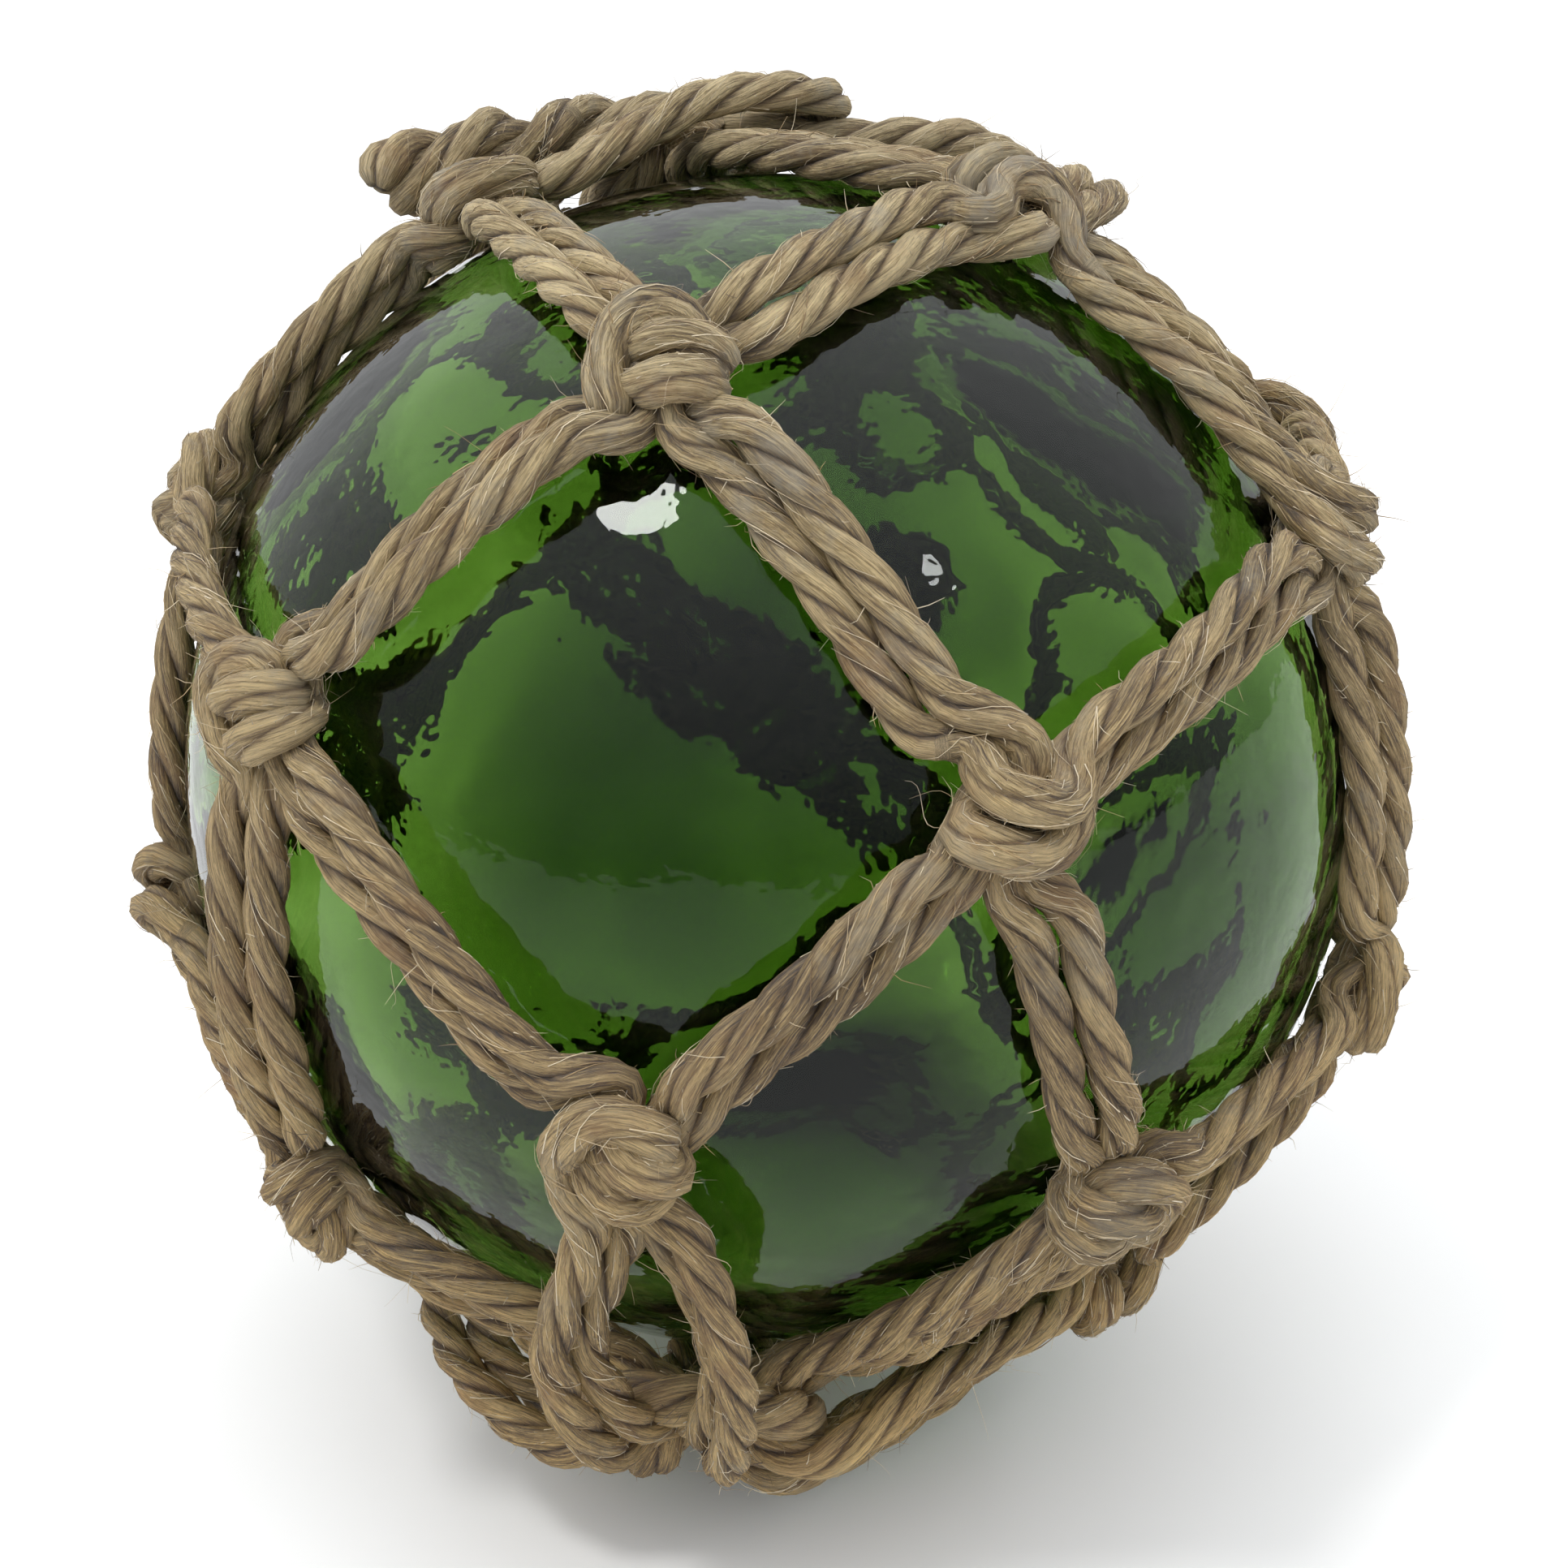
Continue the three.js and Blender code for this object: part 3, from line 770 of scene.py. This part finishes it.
def jute_material(name, colours):
    dark, mid, pale, rust = (srgb(*colour) for colour in colours)
    bleached = tuple(min(1, c * BLEACHING) for c in pale)
    m = Nodes(name)
    fibre, place = m.attribute("fibre", "Vector"), m.place()
    fine = m.noise(fibre, 2.3, 7, 0.74, 0.5)
    value = m.add(m.maths("MULTIPLY", fine, 0.9), m.noise(fibre, 0.6, 2, 0.5), 0.3)
    value = m.add(value, m.attribute("tone"), 0.02)
    value = m.add(value, m.maths("SUBTRACT", m.noise(place, 55, 3, 0.6), 0.5), 0.3)
    colour = m.ramp(value, [(0.46, dark), (0.56, mid), (0.66, pale), (0.76, bleached)])
    colour = weathered(m, colour, place, rust)
    height = m.spread(m.node("ShaderNodeSeparateXYZ", {"Vector": place}).outputs["Z"], 0.0, 1.0, 0.0, TOP)
    # Painted light: the height ramp lightens the rope low down and at the crown.
    colour = m.mix(1.0, colour, m.ramp(height, LIGHT_BY_HEIGHT_TINTS), "MULTIPLY")
    # Painted shade in the grooves between strands.
    colour = m.mix(1.0, colour, m.ramp(m.attribute("crease"), CREASE_SHADE_TINTS), "MULTIPLY")
    m.surface({"Base Color": colour, "Roughness": m.spread(fine, 0.65, 0.95), "Specular IOR Level": 0.35,
               "Sheen Weight": 0.2, "Sheen Roughness": 0.5, "Normal": m.bump(fine, 1.0, 0.0013)})
    return m.material


def loose_fibre_material():
    m = Nodes("loose_jute_fibre")
    value = m.add(m.attribute("tone"), m.noise(m.place(), 700, 2, 0.5), 0.4)
    colour = m.ramp(value, [(0.15, srgb(92, 66, 36)), (0.5, srgb(176, 148, 102)), (1.0, srgb(218, 202, 170))])
    m.surface({"Base Color": colour, "Roughness": 0.6, "Sheen Weight": 0.3})
    return m.material


def glass_material():
    m = Nodes("green_bottle_glass")
    place = m.place()
    smear = m.spread(m.noise(place, 26, 3, 0.6), 0.0, 0.05, 0.45, 0.8)
    ripple = m.add(m.noise(place, 150, 3, 0.55), m.noise(place, 45, 2, 0.5), 2.0)
    m.surface({"Base Color": srgb(*GLASS_COLOUR), "IOR": 1.5, "Transmission Weight": 1.0,
               "Specular Tint": GLASS_REFLECTION, "Roughness": smear, "Normal": m.bump(ripple, 0.32, 0.0006)})
    inputs = {"Color": srgb(*GLASS_DEPTH_COLOUR), "Density": GLASS_DENSITY}
    volume = m.node("ShaderNodeVolumeAbsorption", inputs)
    m.put(m.tree.nodes["Material Output"].inputs["Volume"], volume.outputs[0])
    return m.material


def floor_material():
    m = Nodes("pale_floor")
    colour = m.ramp(m.noise(m.place(), 9, 3, 0.5), [(0.3, (0.86, 0.86, 0.86)), (0.7, (0.9, 0.9, 0.9))])
    m.surface({"Base Color": colour, "Roughness": 0.6})
    return m.material


# ---- Glass ----
# Painted shade in the glass: patches of thicker wall that deepen its green where shadow and dark reflections
# are wanted, and two thinner ones that lighten it, over the blown wall's own unevenness. Latitude, longitude,
# spread in degrees and extra thickness of the wall, in millimetres
SHADE_THICK_PATCHES = [(10, 41, 20, 4.5), (-57, 61, 18, 3.0), (27, 72, 16, 4.0), (-20, 33, 19, 6.2),
                 (18, -138, 26, 2.5), (-22, 88, 16, 5.0), (-5, 54, 12, 3.0), (-17, 12, 9, -1.2),
                 (12, 22, 9, -1.0), (-8, 42, 11, 2.6), (-36, 24, 12, 2.4), (-52, 52, 11, 4.0)]
WALL, WALL_LIMITS = 3.0, (1.6, 12.0)
GLASS_WAVES = [(1.6, 3.1), (4.5, 9.2), (16, 4.4)]  # scale and seed of the slow, middling and fine unevenness
WALL_SLOW, WALL_MID, WALL_FINE = 1.6, 1.5, 0.12
OUTSIDE_DROP, OUTSIDE_MID, OUTSIDE_FINE = 0.06, 0.05, 0.012
BUTTON_TOP, BUTTON_WOBBLE, BUTTON_EDGE, BUTTON_ROUND = 1.15, 0.08, 4, 0.6
SEAL_THICK, SEAL_SPREAD = 1.6, 1.3
OUTSIDE_LEVEL, INSIDE_LEVEL = 7, 6  # of an icosphere


def degrees_off(directions, axis):
    return np.degrees(np.arccos(np.clip(directions @ axis, -1, 1)))


def glass_radii(directions):
    """The outside and the inside of the wall in each direction."""
    def wave(scale, seed):
        shift = Vector((seed, seed * 0.7, -seed))
        return np.array([noise.noise(Vector(d) * scale + shift) for d in directions])

    slow, mid, fine = (wave(scale, seed) for scale, seed in GLASS_WAVES)
    # Painted shade: thicker glass where darker green is wanted, thinner where lighter.
    shade_thickness = np.zeros(len(directions))
    for latitude, longitude, spread, extra in SHADE_THICK_PATCHES:
        centre = outward(over_ball(latitude, longitude, BALL_RADIUS)[None])[0]
        shade_thickness += extra * np.exp(-(degrees_off(directions, centre) / spread) ** 2)
    seal = degrees_off(directions, CROWN_AXIS) / math.degrees(SEAL_RADIUS / BALL_RADIUS)
    edge = (seal / (1 + BUTTON_WOBBLE * mid)) ** BUTTON_EDGE
    button = SEAL_HEIGHT * np.clip(BUTTON_TOP - edge, 0, 1) ** BUTTON_ROUND
    outer = BALL_RADIUS - OUTSIDE_DROP + OUTSIDE_MID * mid + OUTSIDE_FINE * fine
    wall = WALL + WALL_SLOW * slow + WALL_MID * mid + WALL_FINE * fine + shade_thickness
    wall = wall + SEAL_THICK * np.exp(-(seal / SEAL_SPREAD) ** 2)
    return outer + button, outer - np.clip(wall, *WALL_LIMITS)


def glass_shell(material):
    """A blown wall of uneven thickness round sealed air, with the button that seals it, and thicker patches
    that paint shade into its green.
    """
    points, triangles, used = [], [], 0
    for level, inside in ((OUTSIDE_LEVEL, False), (INSIDE_LEVEL, True)):
        ball = bmesh.new()
        bmesh.ops.create_icosphere(ball, subdivisions=level, radius=1.0)
        directions = np.array([v.co[:] for v in ball.verts])
        faces = np.array([[v.index for v in f.verts] for f in ball.faces])
        ball.free()
        outer, inner = glass_radii(directions)
        points.append(directions * (inner if inside else outer)[:, None])
        triangles.append((faces[:, ::-1] if inside else faces) + used)
        used += len(directions)
    return make_mesh("glass_shell", np.vstack(points) + CENTRE, np.vstack(triangles), [], material)


# ---- Gathering cords ----
# How far east of each crown loop's middle the crown cord has its bends, and their orbits.
CORD_WEAVE = [(-20, HIGH_CORD_ORBIT), (-9, HIGH_CORD_ORBIT), (9, LOW_CORD_ORBIT), (20, LOW_CORD_ORBIT)]
CROWN_CORD_SEED, BASE_CORD_SEED, TAIL_SEEDS = 901, 920, ((910, 912), (911, 913))
OVERLAP = 3  # places that a closed path goes on for, so that its curve closes smoothly
TAIL_STEP, TAIL_MERGE, TAIL_TIP = 0.8, 0.4, 0.15
TAIL_SPREAD, TAIL_SPREAD_START, TAIL_SPREAD_LENGTH = 1.9, 6, 9
TAIL_SWELL, TAIL_SWELL_START, TAIL_SWELL_LENGTH = 0.3, 7, 4


def lay_cord(bundle, places, seed):
    """Lays a cord that closes on itself through places over the ball."""
    points = np.array([over_ball(*p) for p in places])
    fine = spline(np.vstack([points[-OVERLAP:], points, points[:OVERLAP]]))
    path = resample(fine[OVERLAP * SPAN:-(OVERLAP - 1) * SPAN - 1], RING_STEP)[:-1]
    lay_rope(bundle, path, CORD_RADIUS, CORD_LAY, ((seed, 1), (seed, 1)), closed=True)


def lay_tails(bundle):
    """The crown cord's two tails, twisted together, spreading from one point and thicker at their tips."""
    route = resample(spline([over_ball(*p) for p in TAIL_ROUTE]), TAIL_STEP)
    tangents, normals = transport(route)
    s = lengths(route)
    spread = TAIL_SPREAD * smoothstep((s - TAIL_SPREAD_START) / TAIL_SPREAD_LENGTH)
    to_end = np.clip((s[-RING_EXTRA] - s) / TAIL_RADIUS, 0, 1)
    rounded = TAIL_RADIUS * np.sqrt(np.clip(1 - (1 - to_end) ** 2, TAIL_TIP, 1))
    rounded *= 1 + TAIL_SWELL * smoothstep((s - s[-1] + TAIL_SWELL_START) / TAIL_SWELL_LENGTH)
    for which, (first, last) in enumerate(TAIL_SEEDS):
        angle = -2 * math.pi * s / TAIL_TWIST + which * math.pi
        path = route + turned(normals, np.cross(tangents, normals), angle) * spread[:, None]
        lay_rope(bundle, path, rounded, CORD_LAY, ((first, 1), (last, 1)), TAIL_MERGE)


def drawstring():
    """The crown's gathering cord, with its tails laid down over the net."""
    bundle = Strands()
    places = [(CROWN_RING_LATITUDE, crown_longitude(column) + east, orbit)
              for column in course_columns(1) for east, orbit in CORD_WEAVE]
    lay_cord(bundle, places, CROWN_CORD_SEED)
    lay_tails(bundle)
    return bundle


def base_ring():
    bundle = Strands()
    places = [(BASE_RING_LATITUDE, c * COLUMN_STEP, BASE_RING_ORBIT) for c in range(COLUMNS)]
    lay_cord(bundle, places, BASE_CORD_SEED)
    return bundle


# ---- Loose fibres ----
SITE_HEIGHT, TIED_MORE = 2, 0.8  # the lowest start of a fibre, and how many more start on tied twine
HAIR_SIDES, HAIR_TAPER, STEEP = 3, 0.75, 0.8
HAIR_OFF_GLASS, HAIR_OFF_FLOOR = 0.1, 0.05
ROOT_DEPTH, LIFT = 0.1, 0.02
LYING_RADII, STANDING_RADII, STRAY_RADII = (0.032, 0.078), (0.032, 0.068), (0.03, 0.055)
LYING_COUNT, LYING_STEPS, LYING_ROOM = 6200, 5, 8
LYING_REACH, LYING_DRIFT = (2.5, 6.5), 1.3  # rings along a strand, and sides round it
LYING_HUMP, HUMP_MOST, LYING_TIP, TIP_MOST = 0.10, 0.5, 0.22, 1.3
STANDING_COUNT, STANDING_STEPS, STANDING_ROOM = 11500, 3, 2
STANDING_LEAST, STANDING_EXTRA, STANDING_LIMITS = 0.45, 0.75, (0.5, 3.2)
STANDING_UP, STANDING_LEAN, STANDING_STRAY, STANDING_BEND = (0.35, 0.9), 0.9, 0.35, 0.4
STRAY_COUNT, STRAY_STEPS, STRAY_LENGTH = 260, 9, (2.5, 6.5)
STRAY_UP, STRAY_WANDER, STRAY_BEND, STRAY_DROOP, STRAY_CURL = 0.5, 0.6, 0.45, 0.3, 0.09
STRAY_CURL_TURNS, STRAY_TONES = (4, 9), (0.2, 1)


class Sites:
    """Where fibres may start: every strand ring of the rope, with how many rings follow it."""

    def __init__(self, bundles):
        self.rings, self.normals, crease, self.tied = (
            np.concatenate([layer for b in bundles for layer in b.layers[key]])
            for key in ("rings", "normals", "crease", "tied"))
        self.left = np.concatenate([np.arange(len(r))[::-1] for b in bundles for r in b.layers["rings"]])
        self.outside = crease < 0.5

    def pick(self, count, room):
        free = self.outside & (self.left > room)[:, None] & (self.rings[..., 2] > SITE_HEIGHT)
        chance = (free * (1 + TIED_MORE * self.tied)).ravel()
        flat = rng.choice(chance.size, count, p=chance / chance.sum())
        return flat // RING_SIDES, flat % RING_SIDES

    def at(self, ring, side):
        """The surface and its normal at ring and side numbers that may have fractions."""
        r, a = np.floor(ring).astype(int), np.floor(side).astype(int)
        u, v = (ring - r)[..., None], (side - a)[..., None]
        out = []
        for grid in (self.rings, self.normals):
            near = grid[r, a % RING_SIDES] * (1 - v) + grid[r, (a + 1) % RING_SIDES] * v
            far = grid[r + 1, a % RING_SIDES] * (1 - v) + grid[r + 1, (a + 1) % RING_SIDES] * v
            out.append(near * (1 - u) + far * u)
        return out


def hairs(name, paths, widths, tones, material):
    """Thin tapered three-sided tubes, closed at both ends, one along each path."""
    count, steps = paths.shape[:2]
    width, tone = rng.uniform(*widths, count), rng.uniform(*tones, count)
    along = unit(np.gradient(paths, axis=1))
    steep = np.abs(along[:, :1, 2:]) > STEEP
    side = unit(np.cross(along, np.where(steep, [1.0, 0, 0], [0, 0, 1.0])))
    up = np.cross(along, side)
    angle = (np.arange(HAIR_SIDES) * (2 * math.pi / HAIR_SIDES))[:, None]
    ring = np.cos(angle) * side[:, :, None] + np.sin(angle) * up[:, :, None]
    taper = width[:, None] * (1 - HAIR_TAPER * np.linspace(0, 1, steps))
    points = (paths[:, :, None] + ring * taper[..., None, None]).reshape(-1, 3)
    points = kept_off(points, BALL_RADIUS + HAIR_OFF_GLASS)
    points[:, 2] = np.maximum(points[:, 2], HAIR_OFF_FLOOR)
    index = np.arange(count * steps * HAIR_SIDES).reshape(count, steps, HAIR_SIDES)
    here, ahead = index[:, :-1], index[:, 1:]
    quads = np.stack([here, np.roll(here, -1, 2), np.roll(ahead, -1, 2), ahead], -1).reshape(-1, 4)
    caps = np.concatenate([index[:, 0, ::-1], index[:, -1]])
    return make_mesh(name, points, quads, caps, material, tone=np.repeat(tone, steps * HAIR_SIDES))


def arcs(root, normal, way, bend, t):
    """Paths that start a little inside the rope, set out one way and bend from it."""
    return (root - normal * ROOT_DEPTH)[:, None] + way[:, None] * t + bend[:, None] * t ** 2


def lying_fibres(name, sites, material):
    """Fibres that lie along the strands, lifted between their ends and towards their tips."""
    count = LYING_COUNT
    t = np.linspace(0, 1, LYING_STEPS)
    ring, side = sites.pick(count, LYING_ROOM)
    reach = rng.uniform(*LYING_REACH, count)
    drift = rng.normal(0, LYING_DRIFT, count)
    # Two whole turns more keep the side numbers positive.
    sides = side[:, None] + drift[:, None] * t + 2 * RING_SIDES
    surface, normal = sites.at(ring[:, None] + reach[:, None] * t, sides)
    hump = np.clip(rng.exponential(LYING_HUMP, count), 0, HUMP_MOST)[:, None] * np.sin(math.pi * t)
    tip = np.clip(rng.exponential(LYING_TIP, count), 0, TIP_MOST)[:, None] * t ** 3
    paths = surface + normal * (LIFT + hump + tip)[..., None]
    return hairs(name, paths, LYING_RADII, (0, 1), material)


def standing_fibres(sites, material):
    """Short fuzz."""
    count = STANDING_COUNT
    t = np.linspace(0, 1, STANDING_STEPS)[:, None]
    ring, side = sites.pick(count, STANDING_ROOM)
    root, normal = sites.rings[ring, side], sites.normals[ring, side]
    along = unit(sites.rings[ring + 1, side] - root)
    length = np.clip(STANDING_LEAST + rng.exponential(STANDING_EXTRA, count), *STANDING_LIMITS)[:, None]
    lean = rng.normal(0, STANDING_LEAN, (count, 1))
    way = normal * rng.uniform(*STANDING_UP, (count, 1)) + along * lean
    way = unit(way + rng.normal(0, STANDING_STRAY, (count, 3)))
    bend = rng.normal(0, STANDING_BEND, (count, 3)) * length
    paths = arcs(root, normal, way * length, bend, t)
    return hairs("standing_fibres", paths, STANDING_RADII, (0, 1), material)


def stray_fibres(sites, material):
    """A few long fibres that have worked loose and curl away."""
    count = STRAY_COUNT
    t = np.linspace(0, 1, STRAY_STEPS)[:, None]
    ring, side = sites.pick(count, STANDING_ROOM)
    root, normal = sites.rings[ring, side], sites.normals[ring, side]
    length = rng.uniform(*STRAY_LENGTH, (count, 1))
    way = unit(normal * STRAY_UP + rng.normal(0, STRAY_WANDER, (count, 3))) * length
    bend = rng.normal(0, STRAY_BEND, (count, 3)) * length - normal * STRAY_DROOP * length
    curl = rng.normal(0, STRAY_CURL, (count, 3)) * length
    paths = arcs(root, normal, way, bend, t)
    paths = paths + curl[:, None] * np.sin(t * rng.uniform(*STRAY_CURL_TURNS, (count, 1, 1)))
    return hairs("stray_fibres", paths, STRAY_RADII, STRAY_TONES, material)


# ---- Camera, lights and floor ----
CAMERA_ELEVATION, CAMERA_DISTANCE = 22.6, 0.2531
CAMERA_LENS, CAMERA_SENSOR, CAMERA_SHIFT, CAMERA_NEAREST = 52.95, 36, (0.0078, -0.0150), 0.01
BALL_CENTRE = Vector((0, 0, REST_HEIGHT / 1000))
# name, place, size, power and colour
LIGHTS = [("softbox", (-0.40, -0.34, 1.04), 0.21, 3.4, (1.0, 0.99, 0.97)),
          ("fill", (0.50, -0.50, 0.90), 0.07, 0.25, (1, 1, 1))]
# For each axis, where its light starts, and how strong it is there and at 1.
SKY = {"Z": (0.0, 0.55, 1.85), "Y": (-1.0, -0.22, 0.22)}
SKY_COLOUR = (0.97, 0.985, 1.0, 1)
FLOOR_HALF = 8


def aim(thing, place):
    """Puts a camera or a light in its place, turned towards the ball."""
    bpy.context.collection.objects.link(thing)
    thing.location = place
    thing.rotation_euler = (BALL_CENTRE - Vector(place)).to_track_quat("-Z", "Y").to_euler()


def photo_camera():
    data = bpy.data.cameras.new("camera")
    data.lens, data.sensor_width, data.clip_start = CAMERA_LENS, CAMERA_SENSOR, CAMERA_NEAREST
    data.shift_x, data.shift_y = CAMERA_SHIFT
    tilt = math.radians(CAMERA_ELEVATION)
    camera = bpy.data.objects.new("camera", data)
    aim(camera, BALL_CENTRE + Vector((0, -math.cos(tilt), math.sin(tilt))) * CAMERA_DISTANCE)
    bpy.context.scene.camera = camera


def area_light(name, place, size, power, colour):
    data = bpy.data.lights.new(name, "AREA")
    data.shape, data.size, data.energy, data.color = "DISK", size, power, colour
    aim(bpy.data.objects.new(name, data), place)


def studio_world():
    """Soft light that is strongest overhead, and weakest from the camera's side."""
    world = bpy.data.worlds.new("studio")
    bpy.context.scene.world = world
    world.use_nodes = True
    nodes, links = world.node_tree.nodes, world.node_tree.links
    split = nodes.new("ShaderNodeSeparateXYZ")
    links.new(nodes.new("ShaderNodeTexCoord").outputs["Generated"], split.inputs[0])
    total = nodes.new("ShaderNodeMath")
    for term, (axis, (start, low, high)) in zip(total.inputs, SKY.items()):
        spread = nodes.new("ShaderNodeMapRange")
        links.new(split.outputs[axis], spread.inputs["Value"])
        spread.inputs["From Min"].default_value = start
        spread.inputs["To Min"].default_value = low
        spread.inputs["To Max"].default_value = high
        links.new(spread.outputs[0], term)
    background = nodes["Background"]
    background.inputs["Color"].default_value = SKY_COLOUR
    links.new(total.outputs[0], background.inputs["Strength"])


photo_camera()
for light in LIGHTS:
    area_light(*light)
studio_world()
bpy.context.scene.view_settings.view_transform = "Standard"

floor_mesh = bpy.data.meshes.new("floor")
floor_corners = [(x * FLOOR_HALF, y * FLOOR_HALF, 0) for x, y in ((-1, -1), (1, -1), (1, 1), (-1, 1))]
floor_mesh.from_pydata(floor_corners, [], [(0, 1, 2, 3)])
floor_mesh.materials.append(floor_material())
floor = bpy.data.objects.new("floor", floor_mesh)
bpy.context.collection.objects.link(floor)

# ---- Build ----
jute = jute_material("jute_twine", TWINE_COLOURS)
cord_jute = jute_material("jute_cord", CORD_COLOURS)
legs = net_legs()
# One piece for each course of knots, from the crown down.
NET_PIECES = ["net_crown_ropes", "net_upper_ropes", "net_lower_ropes", "net_base_ropes"]
bundles = []
for course, name in enumerate(NET_PIECES):
    bundle = Strands()
    for column in course_columns(course):
        lay_knot(bundle, (course, column), legs)
    bundles.append(bundle)
    piece = make_rope(name, bundle, jute)
    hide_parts("rope_net")
    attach(piece, "root")
CORDS = [("crown_cord", drawstring(), "crown_drawstring"), ("base_cord", base_ring(), "base_ring")]
for name, bundle, node in CORDS:
    bundles.append(bundle)
    piece = make_rope(name, bundle, cord_jute)
    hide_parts(node)
    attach(piece, "root")

shell = glass_shell(glass_material())
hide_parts("glass_ball")
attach(shell, "root")

sites = Sites(bundles)
fuzz = loose_fibre_material()
for piece in (lying_fibres("lying_fibres", sites, fuzz), lying_fibres("lifted_fibres", sites, fuzz),
              standing_fibres(sites, fuzz), stray_fibres(sites, fuzz)):
    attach(piece, "root")
